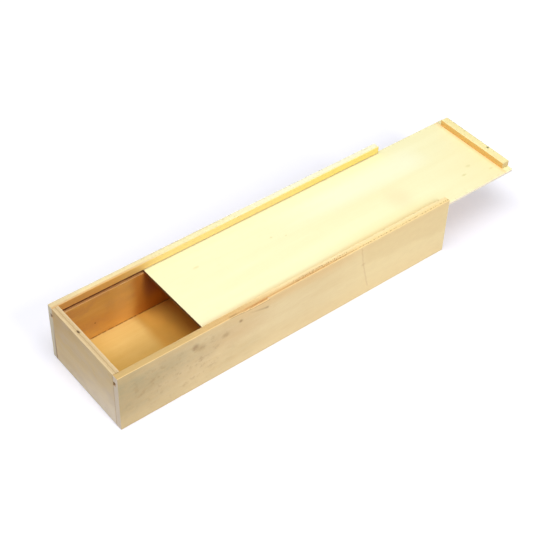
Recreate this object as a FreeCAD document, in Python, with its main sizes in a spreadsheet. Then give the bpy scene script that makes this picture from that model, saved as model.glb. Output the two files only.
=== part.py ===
import FreeCAD, Part
import os

import Sketcher

# Sliding lid wooden box. Two grooved plywood side walls run the full length, and the end panels
# and the bottom stand between them, glued and bradded. The lid is a thin plywood panel that runs
# in the grooves, with a batten pinned across its tail as a finger hold.
# Origin: centre of the case's underside. +X is the way the lid pulls out, +Z is up.
# The lid is drawn partly open, as the box was photographed.

doc = FreeCAD.newDocument("sliding_lid_box")

# Driving dimensions in millimetres
SIZES = {
    # case
    "case_length": 347.0,
    "case_width": 100.0,
    "case_height": 59.0,
    "wall_thickness": 6.5,
    "end_thickness": 6.5,
    "bottom_thickness": 4.0,
    "edge_round": 0.5,
    # lid groove: the lip is the wood left above it
    "lip_height": 7.0,
    "groove_depth": 3.2,
    # lid, with its play in the grooves: under it, over it, at its sides and before its nose
    "lid_thickness": 2.7,
    "lid_foot_play": 0.3,
    "lid_head_play": 1.0,
    "lid_side_play": 0.4,
    "lid_end_play": 0.3,
    "lid_opening": 84.0,
    "lid_corner_round": 0.8,
    "lid_arris": 0.3,
    # batten across the lid's tail
    "batten_width": 8.0,
    "batten_height": 6.0,
    "batten_end_gap": 3.0,
    "batten_round": 0.4,
    # pins through the batten, heads just under its top
    "pin_shank": 1.2,
    "pin_head": 1.9,
    "pin_head_height": 0.5,
    "pin_length": 8.0,
    "pin_sink": 0.15,
    "pin_spacing": 30.0,
    "pin_setback": 2.0,
    # flat-sided brads through the side walls, driven below the surface and filled over
    "brad_shank": 1.05,
    "brad_thickness": 1.25,
    "brad_head": 1.9,
    "brad_head_height": 1.0,
    "brad_length": 20.0,
    "brad_sink": 1.0,
    "brad_low": 14.0,
    "closed_brad_rise": 26.0,
    "open_brad_rise": 20.0,
    "bottom_brad_spacing": 105.0,
    # what pins and brads share
    "point_length": 1.5,
    "bore_play": 0.05,
}

# Numbers of pins and brads in a row
BATTEN_PINS = 2
CORNER_BRADS = 2
BOTTOM_BRADS = 3

sheet = doc.addObject("Spreadsheet::Sheet", "Sizes")
for row, (alias, value) in enumerate(SIZES.items(), start=1):
    sheet.set(f"A{row}", alias)
    sheet.set(f"B{row}", str(value))
    sheet.setAlias(f"B{row}", alias)
doc.recompute()


def size(alias):
    """The value that the sheet holds for one dimension."""
    return float(getattr(sheet, alias))


# Sizes worked out from the driving ones, as expressions on the sheet
INNER_LENGTH = "(Sizes.case_length - 2 * Sizes.end_thickness)"
INNER_WIDTH = "(Sizes.case_width - 2 * Sizes.wall_thickness)"
GROOVE_HEIGHT = "(Sizes.lid_foot_play + Sizes.lid_thickness + Sizes.lid_head_play)"
GROOVE_FLOOR = f"(Sizes.case_height - Sizes.lip_height - {GROOVE_HEIGHT})"

LID_LENGTH = "(Sizes.case_length - Sizes.end_thickness + Sizes.groove_depth - Sizes.lid_end_play)"
LID_WIDTH = f"({INNER_WIDTH} + 2 * Sizes.groove_depth - 2 * Sizes.lid_side_play)"
LID_TAIL = "(Sizes.case_length / 2 + Sizes.lid_opening)"
LID_NOSE = f"({LID_TAIL} - {LID_LENGTH})"
LID_UNDERSIDE = f"({GROOVE_FLOOR} + Sizes.lid_foot_play)"
LID_TOP = f"({LID_UNDERSIDE} + Sizes.lid_thickness)"
BATTEN_LENGTH = f"({INNER_WIDTH} - 2 * Sizes.batten_end_gap)"

PIN_BORE = "(Sizes.pin_shank + 2 * Sizes.bore_play)"
PIN_HEAD_BORE = "(Sizes.pin_head + 2 * Sizes.bore_play)"
PIN_HEAD_SEAT = "(Sizes.pin_sink + Sizes.pin_head_height)"
PIN_DEPTH_IN_LID = "(Sizes.pin_sink + Sizes.pin_length - Sizes.batten_height + Sizes.bore_play)"

BRAD_SLOT = "(Sizes.brad_shank + 2 * Sizes.bore_play)"
BRAD_HEAD_SLOT = "(Sizes.brad_head + 2 * Sizes.bore_play)"
BRAD_SLOT_HEIGHT = "(Sizes.brad_thickness + 2 * Sizes.bore_play)"
BRAD_START = "(Sizes.brad_sink - Sizes.bore_play)"
BRAD_HEAD_SEAT = "(Sizes.brad_head_height + 2 * Sizes.bore_play)"
BRAD_DEPTH_IN_WALL = f"(Sizes.wall_thickness - {BRAD_START})"
BRAD_DEPTH_PAST_WALL = (
    "(Sizes.brad_length + Sizes.brad_sink - Sizes.wall_thickness + Sizes.bore_play)")
CLOSED_BRAD_X = "(-Sizes.case_length / 2 + Sizes.end_thickness / 2)"
OPEN_BRAD_X = "(Sizes.case_length / 2 - Sizes.end_thickness / 2)"
CLOSED_BRAD_TOP = "(Sizes.brad_low + Sizes.closed_brad_rise)"
OPEN_BRAD_TOP = "(Sizes.brad_low + Sizes.open_brad_rise)"

# Points of a sketch's edge or circle, and the sketch's own axes, numbered from -1 down
START, END, CENTRE = range(1, 4)
LEVEL_AXIS, UPRIGHT_AXIS = range(-1, -3, -1)
ORIGIN = (LEVEL_AXIS, START)


def origin_part(body, role):
    """One of a body's own origin planes or axes, by its role."""
    return next(part for part in body.Origin.OriginFeatures if part.Role == role)


def new_body(label):
    body = doc.addObject("PartDesign::Body", label)
    body.Label = label
    return body


def new_sketch(body, name, plane, offset=None, turn=0.0):
    """An empty sketch on one of the body's origin planes, moved in the plane's own axes."""
    sketch = body.newObject("Sketcher::SketchObject", name)
    sketch.AttachmentSupport = [(origin_part(body, plane), "")]
    sketch.MapMode = "FlatFace"
    spin = FreeCAD.Rotation(FreeCAD.Vector(0, 0, 1), turn)
    sketch.AttachmentOffset = FreeCAD.Placement(FreeCAD.Vector(), spin)
    for axis, expression in (offset or {}).items():
        sketch.setExpression(f"AttachmentOffset.Base.{axis}", expression)
    return sketch


def draw_outline(sketch, corners):
    """A closed outline of straight edges, level and upright ones held so. Returns its edges."""
    edges = []
    for (x, y), (next_x, next_y) in zip(corners, corners[1:] + corners[:1]):
        line = Part.LineSegment(FreeCAD.Vector(x, y, 0), FreeCAD.Vector(next_x, next_y, 0))
        edge = sketch.addGeometry(line, False)
        if y == next_y:
            sketch.addConstraint(Sketcher.Constraint("Horizontal", edge))
        elif x == next_x:
            sketch.addConstraint(Sketcher.Constraint("Vertical", edge))
        edges.append(edge)
    for edge, next_edge in zip(edges, edges[1:] + edges[:1]):
        sketch.addConstraint(Sketcher.Constraint("Coincident", edge, END, next_edge, START))
    return edges


def hold_distance(sketch, kind, first, second, name, expression):
    """Hold the signed distance from one point to another at an expression's value."""
    held = sketch.addConstraint(Sketcher.Constraint(kind, *first, *second, 1.0))
    sketch.renameConstraint(held, name)
    sketch.setExpression(f"Constraints.{name}", expression)


def hold_at_origin(sketch, point):
    sketch.addConstraint(Sketcher.Constraint("Coincident", *point, *ORIGIN))


def grooved_profile(sketch, thickness):
    """Section of a board with the lid groove: outer face at x = 0, foot at y = 0."""
    inner, depth = size(thickness), size("groove_depth")
    top = size("case_height")
    ceiling = top - size("lip_height")
    floor = ceiling - size("lid_head_play") - size("lid_thickness") - size("lid_foot_play")
    edges = draw_outline(sketch, [
        (0, 0), (inner, 0), (inner, floor), (inner - depth, floor),
        (inner - depth, ceiling), (inner, ceiling), (inner, top), (0, top),
    ])
    foot, inner_face, groove_floor, groove_back, _, lip_face, _, _ = edges
    hold_at_origin(sketch, (foot, START))
    hold_distance(sketch, "DistanceX", (foot, START), (foot, END), "thickness", f"Sizes.{thickness}")
    hold_distance(sketch, "DistanceY", (foot, END), (lip_face, END), "height", "Sizes.case_height")
    hold_distance(sketch, "DistanceY", (lip_face, START), (lip_face, END), "lip", "Sizes.lip_height")
    hold_distance(sketch, "DistanceY", (groove_back, START), (groove_back, END), "groove", GROOVE_HEIGHT)
    hold_distance(
        sketch, "DistanceX", (groove_floor, END), (groove_floor, START), "depth", "Sizes.groove_depth")
    flush = Sketcher.Constraint("Vertical", inner_face, START, lip_face, START)
    sketch.addConstraint(flush)


def plain_profile(sketch, width, height, centred):
    """A rectangular section standing on y = 0, centred on x = 0 or with one corner there."""
    foot, side = draw_outline(sketch, [(0, 0), (1, 0), (1, 1), (0, 1)])[:2]
    if centred:
        sketch.addConstraint(Sketcher.Constraint("Symmetric", foot, START, foot, END, *ORIGIN))
    else:
        hold_at_origin(sketch, (foot, START))
    hold_distance(sketch, "DistanceX", (foot, START), (foot, END), "width", width)
    hold_distance(sketch, "DistanceY", (side, START), (side, END), "height", height)


def pad_along_x(body, sketch, length, symmetric):
    """Run a section along the body's X axis, both ways from its middle or from x = 0 on."""
    pad = body.newObject("PartDesign::Pad", f"{body.Name}_board")
    pad.Profile = sketch
    pad.setExpression("Length", length)
    pad.SideType = "Symmetric" if symmetric else "One side"
    sketch.Visibility = False
    return pad


def pocket_sketch(body, name, sketch, depth):
    """Cut a sketch's outlines into the body, against the sketch plane's normal."""
    pocket = body.newObject("PartDesign::Pocket", name)
    pocket.Profile = sketch
    pocket.setExpression("Length", depth)
    sketch.Visibility = False
    return pocket


def cut_bores(body, name, plane, offset, centres, diameter, depth):
    """Round holes for the pins, at centres given as pairs of expressions."""
    sketch = new_sketch(body, f"{name}_sketch", plane, offset)
    for index, (across, up) in enumerate(centres):
        circle = Part.Circle(FreeCAD.Vector(index, 0, 0), FreeCAD.Vector(0, 0, 1), 1.0)
        sketch.addGeometry(circle, False)
        hold_distance(sketch, "DistanceX", ORIGIN, (index, CENTRE), f"across_{index}", across)
        hold_distance(sketch, "DistanceY", ORIGIN, (index, CENTRE), f"up_{index}", up)
        held = sketch.addConstraint(Sketcher.Constraint("Diameter", index, 1.0))
        sketch.renameConstraint(held, f"bore_{index}")
        sketch.setExpression(f"Constraints.bore_{index}", diameter)
    return pocket_sketch(body, name, sketch, depth)


def cut_slots(body, name, plane, offset, centres, width, depth):
    """Flat-sided holes for the brads, at centres given as pairs of expressions."""
    sketch = new_sketch(body, f"{name}_sketch", plane, offset)
    for index, (across, up) in enumerate(centres):
        foot, side = draw_outline(sketch, [(0, 0), (1, 0), (1, 1), (0, 1)])[:2]
        hold_distance(sketch, "DistanceX", (foot, START), (foot, END), f"width_{index}", width)
        hold_distance(sketch, "DistanceY", (side, START), (side, END), f"height_{index}", BRAD_SLOT_HEIGHT)
        corner = (foot, START)
        hold_distance(sketch, "DistanceX", ORIGIN, corner, f"across_{index}", f"{across} - {width} / 2")
        hold_distance(sketch, "DistanceY", ORIGIN, corner, f"up_{index}", f"{up} - {BRAD_SLOT_HEIGHT} / 2")
    return pocket_sketch(body, name, sketch, depth)


def mirror_in_body(body, name, feature, plane):
    """Repeat one feature on the other side of the body's own middle plane."""
    mirrored = body.newObject("PartDesign::Mirrored", name)
    mirrored.Originals = [feature]
    mirrored.MirrorPlane = (origin_part(body, plane), [""])
    body.Tip = mirrored
    return mirrored


def dress_edges(body, name, kind, amount, chosen):
    """Round or bevel the edges whose middle point passes the test given as chosen."""
    doc.recompute()
    base = body.Tip
    edges = [f"Edge{number}" for number, edge in enumerate(base.Shape.Edges, start=1)
             if chosen(edge.valueAt((edge.FirstParameter + edge.LastParameter) / 2))]
    dressing = body.newObject(f"PartDesign::{kind}", name)
    dressing.Base = (base, edges)
    dressing.setExpression("Radius" if kind == "Fillet" else "Size", f"Sizes.{amount}")
    body.Tip = dressing


def near(value, target):
    return abs(value - target) < 0.001


def stand_at(body, turn=0.0, **place):
    """Turn a body about Z and bind its position to the sheet."""
    spin = FreeCAD.Rotation(FreeCAD.Vector(0, 0, 1), turn)
    body.Placement = FreeCAD.Placement(FreeCAD.Vector(), spin)
    for axis, expression in place.items():
        body.setExpression(f"Placement.Base.{axis}", expression)


# Side walls: one grooved board, and its mirror image on the far side

def make_side_wall():
    body = new_body("side_near")
    profile = new_sketch(body, "side_profile", "YZ_Plane")
    grooved_profile(profile, "wall_thickness")
    pad_along_x(body, profile, "Sizes.case_length", symmetric=True)

    def on_outer_face_or_rim(point):
        rim = near(point.y, size("wall_thickness")) and near(point.z, size("case_height"))
        return near(point.y, 0) or rim
    dress_edges(body, "side_worn_edges", "Fillet", "edge_round", on_outer_face_or_rim)

    half_bottom = "(Sizes.bottom_thickness / 2)"
    places = [
        (CLOSED_BRAD_X, "Sizes.brad_low"), (CLOSED_BRAD_X, CLOSED_BRAD_TOP),
        (OPEN_BRAD_X, "Sizes.brad_low"), (OPEN_BRAD_X, OPEN_BRAD_TOP),
        ("(-Sizes.bottom_brad_spacing)", half_bottom), ("0", half_bottom),
        ("Sizes.bottom_brad_spacing", half_bottom),
    ]
    start = {"z": f"-{BRAD_START}"}
    cut_slots(body, "side_shank_slots", "XZ_Plane", start, places, BRAD_SLOT, BRAD_DEPTH_IN_WALL)
    cut_slots(body, "side_head_slots", "XZ_Plane", start, places, BRAD_HEAD_SLOT, BRAD_HEAD_SEAT)
    stand_at(body, y="-Sizes.case_width / 2")
    return body


def mirror_side_wall(side_near):
    mirrored = doc.addObject("Part::Mirroring", "side_far")
    mirrored.Label = "side_far"
    mirrored.Source = side_near
    mirrored.Base = FreeCAD.Vector(0, 0, 0)
    mirrored.Normal = FreeCAD.Vector(0, 1, 0)
    return mirrored


# End panels: the closed one is grooved for the lid's nose, and the lid passes over the open one

def finish_end(body, height, top_brad):
    """Worn outer and top edges, and the brads' slots in both end-grain faces."""
    def on_outer_or_top_edge(point):
        level = near(point.x, 0)
        outer = near(point.y, 0)
        top = near(point.z, height)
        return level and (outer or top)
    dress_edges(body, f"{body.Name}_worn_edges", "Fillet", "edge_round", on_outer_or_top_edge)
    half = "(Sizes.end_thickness / 2)"
    slots = cut_slots(
        body, f"{body.Name}_slots", "YZ_Plane", {"z": f"{INNER_WIDTH} / 2"},
        [(half, "Sizes.brad_low"), (half, top_brad)], BRAD_SLOT, BRAD_DEPTH_PAST_WALL)
    mirror_in_body(body, f"{body.Name}_slots_mirrored", slots, "YZ_Plane")


def make_closed_end():
    body = new_body("end_closed")
    profile = new_sketch(body, "end_closed_profile", "YZ_Plane")
    grooved_profile(profile, "end_thickness")
    pad_along_x(body, profile, INNER_WIDTH, symmetric=True)
    finish_end(body, size("case_height"), CLOSED_BRAD_TOP)
    stand_at(body, turn=-90, x="-Sizes.case_length / 2")
    return body


def make_open_end():
    body = new_body("end_open")
    profile = new_sketch(body, "end_open_profile", "YZ_Plane")
    plain_profile(profile, "Sizes.end_thickness", GROOVE_FLOOR, centred=False)
    pad = pad_along_x(body, profile, INNER_WIDTH, symmetric=True)
    doc.recompute()
    finish_end(body, pad.Shape.BoundBox.ZMax, OPEN_BRAD_TOP)
    stand_at(body, turn=90, x="Sizes.case_length / 2")
    return body


# Bottom panel: lies between the four walls, flush with their feet

def make_bottom():
    body = new_body("bottom_panel")
    profile = new_sketch(body, "bottom_profile", "YZ_Plane")
    plain_profile(profile, INNER_WIDTH, "Sizes.bottom_thickness", centred=True)
    pad_along_x(body, profile, INNER_LENGTH, symmetric=True)
    half = "(Sizes.bottom_thickness / 2)"
    places = [("(-Sizes.bottom_brad_spacing)", half), ("0", half), ("Sizes.bottom_brad_spacing", half)]
    slots = cut_slots(
        body, "bottom_slots", "XZ_Plane", {"z": f"{INNER_WIDTH} / 2"},
        places, BRAD_SLOT, BRAD_DEPTH_PAST_WALL)
    mirror_in_body(body, "bottom_slots_mirrored", slots, "XZ_Plane")
    return body


# Lid: a thin panel whose edges run in the grooves, and the batten pinned across its tail

def batten_bore_places(along):
    half = "(Sizes.pin_spacing / 2)"
    return [(along, f"-{half}"), (along, half)]


def make_lid_panel():
    body = new_body("lid_panel")
    profile = new_sketch(body, "lid_profile", "YZ_Plane")
    plain_profile(profile, LID_WIDTH, "Sizes.lid_thickness", centred=True)
    pad_along_x(body, profile, LID_LENGTH, symmetric=False)
    top = size("lid_thickness")
    dress_edges(
        body, "lid_corners", "Fillet", "lid_corner_round", lambda point: near(point.z, top / 2))
    dress_edges(
        body, "lid_arrises", "Chamfer", "lid_arris",
        lambda point: near(point.z, 0) or near(point.z, top))
    cut_bores(
        body, "lid_bores", "XY_Plane", {"z": "Sizes.lid_thickness"},
        batten_bore_places(f"({LID_LENGTH} - Sizes.pin_setback)"), PIN_BORE, PIN_DEPTH_IN_LID)
    stand_at(body, x=LID_NOSE, z=LID_UNDERSIDE)
    return body


def make_batten():
    body = new_body("lid_batten")
    profile = new_sketch(body, "batten_profile", "YZ_Plane")
    plain_profile(profile, BATTEN_LENGTH, "Sizes.batten_height", centred=True)
    pad_along_x(body, profile, "Sizes.batten_width", symmetric=False)
    dress_edges(
        body, "batten_worn_edges", "Fillet", "batten_round", lambda point: not near(point.z, 0))
    places = batten_bore_places("(Sizes.batten_width - Sizes.pin_setback)")
    top = {"z": "Sizes.batten_height"}
    cut_bores(body, "batten_shank_bores", "XY_Plane", top, places, PIN_BORE, "Sizes.batten_height")
    cut_bores(body, "batten_head_bores", "XY_Plane", top, places, PIN_HEAD_BORE, PIN_HEAD_SEAT)
    stand_at(body, x=f"{LID_TAIL} - Sizes.batten_width", z=LID_TOP)
    return body


# Pins and brads, each drawn from its head at the sketch's origin towards the sketch's +Y

def make_pin(body, plane, offset, turn):
    """A turned pin: half its outline, spun about its own axis."""
    sketch = new_sketch(body, "pin_profile", plane, offset, turn)
    head, shank = size("pin_head") / 2, size("pin_shank") / 2
    collar, length = size("pin_head_height"), size("pin_length")
    head_top, head_side, _, shank_side, point, axis = draw_outline(sketch, [
        (0, 0), (head, 0), (head, collar), (shank, collar),
        (shank, length - size("point_length")), (0, length),
    ])
    hold_at_origin(sketch, (head_top, START))
    hold_distance(sketch, "DistanceX", (head_top, START), (head_top, END), "head", "Sizes.pin_head / 2")
    hold_distance(
        sketch, "DistanceY", (head_side, START), (head_side, END), "collar", "Sizes.pin_head_height")
    hold_distance(sketch, "DistanceX", ORIGIN, (shank_side, START), "shank", "Sizes.pin_shank / 2")
    hold_distance(sketch, "DistanceY", (axis, END), (axis, START), "length", "Sizes.pin_length")
    hold_distance(sketch, "DistanceY", (point, START), (point, END), "point", "Sizes.point_length")
    pin = body.newObject("PartDesign::Revolution", "pin")
    pin.Profile = sketch
    pin.ReferenceAxis = (sketch, ["V_Axis"])
    pin.Angle = 360
    sketch.Visibility = False
    return pin


def make_brad(body, plane, offset):
    """A flat-sided brad: T head, shank and chisel point, padded to its thickness."""
    sketch = new_sketch(body, f"{body.Name}_profile", plane, offset)
    head, shank = size("brad_head") / 2, size("brad_shank") / 2
    collar, length = size("brad_head_height"), size("brad_length")
    taper = length - size("point_length")
    head_top, head_side, _, right, point, _, left, _, _ = draw_outline(sketch, [
        (-head, 0), (head, 0), (head, collar), (shank, collar), (shank, taper),
        (0, length), (-shank, taper), (-shank, collar), (-head, collar),
    ])
    for mirrored in (
        Sketcher.Constraint("Symmetric", head_top, START, head_top, END, *ORIGIN),
        Sketcher.Constraint("Symmetric", right, START, left, END, UPRIGHT_AXIS),
        Sketcher.Constraint("Horizontal", right, END, left, START),
        Sketcher.Constraint("PointOnObject", point, END, UPRIGHT_AXIS),
    ):
        sketch.addConstraint(mirrored)
    hold_distance(sketch, "DistanceX", (head_top, START), (head_top, END), "head", "Sizes.brad_head")
    hold_distance(
        sketch, "DistanceY", (head_side, START), (head_side, END), "collar", "Sizes.brad_head_height")
    hold_distance(sketch, "DistanceX", (left, END), (right, START), "shank", "Sizes.brad_shank")
    hold_distance(sketch, "DistanceY", ORIGIN, (point, END), "length", "Sizes.brad_length")
    hold_distance(sketch, "DistanceY", (point, START), (point, END), "point", "Sizes.point_length")
    brad = body.newObject("PartDesign::Pad", f"{body.Name}_brad")
    brad.Profile = sketch
    brad.setExpression("Length", "Sizes.brad_thickness")
    brad.SideType = "Symmetric"
    sketch.Visibility = False
    return brad


def set_row(row, body, axis, spacing, count):
    """Space a pattern's copies along one of the body's axes."""
    row.Direction = (origin_part(body, axis), [""])
    row.Mode = "Spacing"
    row.setExpression("Offset", spacing)
    row.Occurrences = count


def make_batten_pins():
    body = new_body("batten_pins")
    body.AllowCompound = True
    pin = make_pin(body, "XZ_Plane", {"y": "-Sizes.pin_sink"}, turn=180)
    row = body.newObject("PartDesign::LinearPattern", "pin_row")
    row.Originals = [pin]
    set_row(row, body, "Y_Axis", "Sizes.pin_spacing", BATTEN_PINS)
    body.Tip = row
    stand_at(
        body, x=f"{LID_TAIL} - Sizes.pin_setback", y="-Sizes.pin_spacing / 2",
        z=f"{LID_TOP} + Sizes.batten_height")
    return body


def make_brads(label, offset, axis, spacing, count):
    """A row of brads through the near wall, and its mirror image through the far one."""
    body = new_body(label)
    body.AllowCompound = True
    brad = make_brad(body, "XY_Plane", offset)
    both_rows = body.newObject("PartDesign::MultiTransform", f"{label}_rows")
    both_rows.Originals = [brad]
    row = body.newObject("PartDesign::LinearPattern", f"{label}_row")
    set_row(row, body, axis, spacing, count)
    mirrored = body.newObject("PartDesign::Mirrored", f"{label}_mirrored")
    mirrored.MirrorPlane = (origin_part(body, "XZ_Plane"), [""])
    both_rows.Transformations = [row, mirrored]
    body.Tip = both_rows
    return body


def make_corner_brads(label, place, spacing):
    head = "-Sizes.case_width / 2 + Sizes.brad_sink"
    offset = {"y": head, "z": "Sizes.brad_low"}
    body = make_brads(label, offset, "Z_Axis", spacing, CORNER_BRADS)
    stand_at(body, x=place)
    return body


def make_bottom_brads():
    offset = {
        "x": "-Sizes.bottom_brad_spacing",
        "y": "-Sizes.case_width / 2 + Sizes.brad_sink",
        "z": "Sizes.bottom_thickness / 2",
    }
    return make_brads("bottom_brads", offset, "X_Axis", "Sizes.bottom_brad_spacing", BOTTOM_BRADS)


side_near = make_side_wall()
parts = [
    side_near,
    mirror_side_wall(side_near),
    make_closed_end(),
    make_open_end(),
    make_bottom(),
    make_lid_panel(),
    make_batten(),
    make_batten_pins(),
    make_corner_brads("closed_end_brads", CLOSED_BRAD_X, "Sizes.closed_brad_rise"),
    make_corner_brads("open_end_brads", OPEN_BRAD_X, "Sizes.open_brad_rise"),
    make_bottom_brads(),
]
doc.recompute()

# Nothing is written unless every feature worked and every piece is sound
failed = [item.Name for item in doc.Objects if {"Invalid", "Error"} & set(item.State)]
if failed:
    raise RuntimeError(f"features that did not compute: {failed}")
for part in parts:
    if part.Shape.isNull() or not part.Shape.isValid():
        raise RuntimeError(f"unsound shape: {part.Label}")

os.makedirs("parts", exist_ok=True)
for part in parts:
    part.Shape.exportStep(f"parts/{part.Label}.step")
    box = part.Shape.BoundBox
    print(
        f"{part.Label}: {len(part.Shape.Solids)} solid(s), {part.Shape.Volume:.1f} mm3, "
        f"x {box.XMin:.2f}..{box.XMax:.2f}, y {box.YMin:.2f}..{box.YMax:.2f}, "
        f"z {box.ZMin:.2f}..{box.ZMax:.2f}")
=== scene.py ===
import math

import bmesh
import bpy
from mathutils import Euler, Matrix, Vector, noise


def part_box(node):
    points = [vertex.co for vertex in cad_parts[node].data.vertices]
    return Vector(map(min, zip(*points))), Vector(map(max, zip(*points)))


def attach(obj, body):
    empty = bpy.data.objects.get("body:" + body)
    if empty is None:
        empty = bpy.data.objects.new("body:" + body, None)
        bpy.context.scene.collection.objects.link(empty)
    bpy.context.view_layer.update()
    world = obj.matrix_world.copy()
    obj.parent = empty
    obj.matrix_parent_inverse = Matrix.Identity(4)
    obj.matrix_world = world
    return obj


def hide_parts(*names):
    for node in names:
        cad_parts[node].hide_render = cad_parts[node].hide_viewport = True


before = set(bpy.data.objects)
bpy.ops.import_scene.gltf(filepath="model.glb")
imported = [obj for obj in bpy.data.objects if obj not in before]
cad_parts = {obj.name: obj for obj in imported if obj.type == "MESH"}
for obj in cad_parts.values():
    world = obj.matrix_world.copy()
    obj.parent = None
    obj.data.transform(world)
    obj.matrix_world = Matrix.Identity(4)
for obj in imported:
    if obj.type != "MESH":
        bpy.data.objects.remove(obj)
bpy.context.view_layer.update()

MM = 0.001


def span(node, axis):
    """Lowest and highest place of a CAD node along an axis, in mm."""
    low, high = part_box(node)
    return low[axis] / MM, high[axis] / MM


# ---------------------------------------------------------------- Sizes from the frame, in mm
CASE_X = span("side_near", 0)
CASE_Z = span("side_near", 2)
NEAR_Y = span("side_near", 1)
FAR_Y = span("side_far", 1)
CLOSED_X = span("end_closed", 0)
END_Y = span("end_closed", 1)
OPEN_X = span("end_open", 0)
OPEN_Z = span("end_open", 2)
BOTTOM_X = span("bottom_panel", 0)
BOTTOM_Z = span("bottom_panel", 2)
LID_X = span("lid_panel", 0)
LID_Y = span("lid_panel", 1)
LID_Z = span("lid_panel", 2)
BATTEN_X = span("lid_batten", 0)
BATTEN_Y = span("lid_batten", 1)
BATTEN_Z = span("lid_batten", 2)
PINS_X = span("batten_pins", 0)
PINS_Y = span("batten_pins", 1)

THICK = NEAR_Y[1] - NEAR_Y[0]
PIN_RADIUS = (PINS_X[1] - PINS_X[0]) / 2
PIN_X = sum(PINS_X) / 2
OPEN_PIN_Y = PINS_Y[0] + PIN_RADIUS
FILLED_PIN_Y = PINS_Y[1] - PIN_RADIUS

# The lid's groove, and the outer plies of the 3-ply boards
GROOVE_DEPTH = 3.2
GROOVE_LOW = OPEN_Z[1]
GROOVE_HIGH = 52.0
OUTER_PLY = 1.7


# ---------------------------------------------------------------- Mesh code
ARC_STEPS = 3
SHARP_DEGREES = 50

# Distances from a corner where a section's edge has points, the least and the widest gap between others
SUPPORT = (0.12, 0.45, 0.9, 1.4, 1.9, 2.5, 3.4, 5.0)
LEAST_GAP = 0.05
WIDEST_GAP = 6.0

# A board's first stations as shares of its ends' rounding, the step past it and the step between others
END_SHARES = (0, 0.04, 0.14, 0.36, 0.65, 1.0)
END_STEP = 0.15
STEP = 1.6

# How fast the wear of an arris fades with the distance from it
ARRIS_REACH = 0.5


def smoothstep(value, low, high):
    """0 below low, 1 above high, and a soft rise between."""
    share = min(1.0, max(0.0, (value - low) / (high - low)))
    return share * share * (3 - 2 * share)


def grain(x, y, z):
    """Smooth noise from -1 to 1, the same each run."""
    return noise.noise(Vector((x, y, z)))


def edge_shares(length):
    """Shares of an edge where its points lie, dense near both corners, and their distances from a corner."""
    near = [d for d in SUPPORT if d < length / 2 - LEAST_GAP]
    far = [length - d for d in reversed(near)]
    gap = far[0] - near[-1]
    steps = max(1, round(gap / WIDEST_GAP))
    middle = [near[-1] + gap * k / steps for k in range(1, steps)]
    return [(d / length, min(d, length - d)) for d in near + middle + far]


def outline_plan(corners):
    """For each corner of a section: its place, its radius and the next one's, the ways in and out of it,
    and the points on the edge after it."""
    plan = []
    for k, (u, v, radius) in enumerate(corners):
        before = Vector(corners[k - 1][:2])
        after = Vector(corners[(k + 1) % len(corners)][:2])
        next_radius = corners[(k + 1) % len(corners)][2]
        here = Vector((u, v))
        come = (here - before).normalized()
        go = (after - here).normalized()
        straight = (after - here).length - radius - next_radius
        plan.append((here, radius, next_radius, come, go, edge_shares(straight)))
    return plan


def outline(plan, drawn):
    """Points round the section, each with its way out and how near it is to an arris."""
    moved = []
    for here, _, _, come, go, _ in plan:
        inward = Vector((-come.y - go.y, come.x + go.x))
        moved.append(here + Vector((inward.x * drawn[0], inward.y * drawn[1])))
    points = []
    for k, (_, radius, next_radius, come, go, shares) in enumerate(plan):
        corner = moved[k]
        following = moved[(k + 1) % len(moved)]
        centre = corner - come * radius + go * radius
        turn = 1 if come.x * go.y - come.y * go.x > 0 else -1
        for step in range(ARC_STEPS + 1):
            angle = math.pi / 2 * step / ARC_STEPS
            way = -go * math.cos(angle) + come * math.sin(angle)
            points.append((centre + way * radius, way * turn, float(turn > 0)))
        start = corner + go * radius
        run = (following - go * next_radius) - start
        out = Vector((go.y, -go.x))
        for share, distance in shares:
            points.append((start + run * share, out, math.exp(-distance / ARRIS_REACH)))
    return points


def draw_in(distance, radius):
    """How far an edge rounded to that radius has drawn in, at a distance from the end."""
    if distance >= radius:
        return 0.0
    return radius - math.sqrt(radius**2 - (radius - distance) ** 2)


def stations(low, high, rounding, step, extra):
    """Places along a board, each with its distance from the nearer end."""
    radius = max(rounding)
    ends = [radius * share for share in END_SHARES]
    ends.append(radius + END_STEP)
    count = max(2, round((high - low - 2 * ends[-1]) / step))
    first, last = low + ends[-1], high - ends[-1]
    places = [low + d for d in ends] + [high - d for d in ends]
    places += [first + (last - first) * k / count for k in range(1, count)]
    places += [p for p in extra if first < p < last]
    places = sorted(set(round(p, 4) for p in places))
    return [(p, max(0.0, min(p - low, high - p))) for p in places]


def place_mesh(name, mesh):
    """Turns a bmesh into an object of the scene."""
    data = bpy.data.meshes.new(name)
    mesh.to_mesh(data)
    mesh.free()
    thing = bpy.data.objects.new(name, data)
    bpy.context.scene.collection.objects.link(thing)
    return thing


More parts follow.
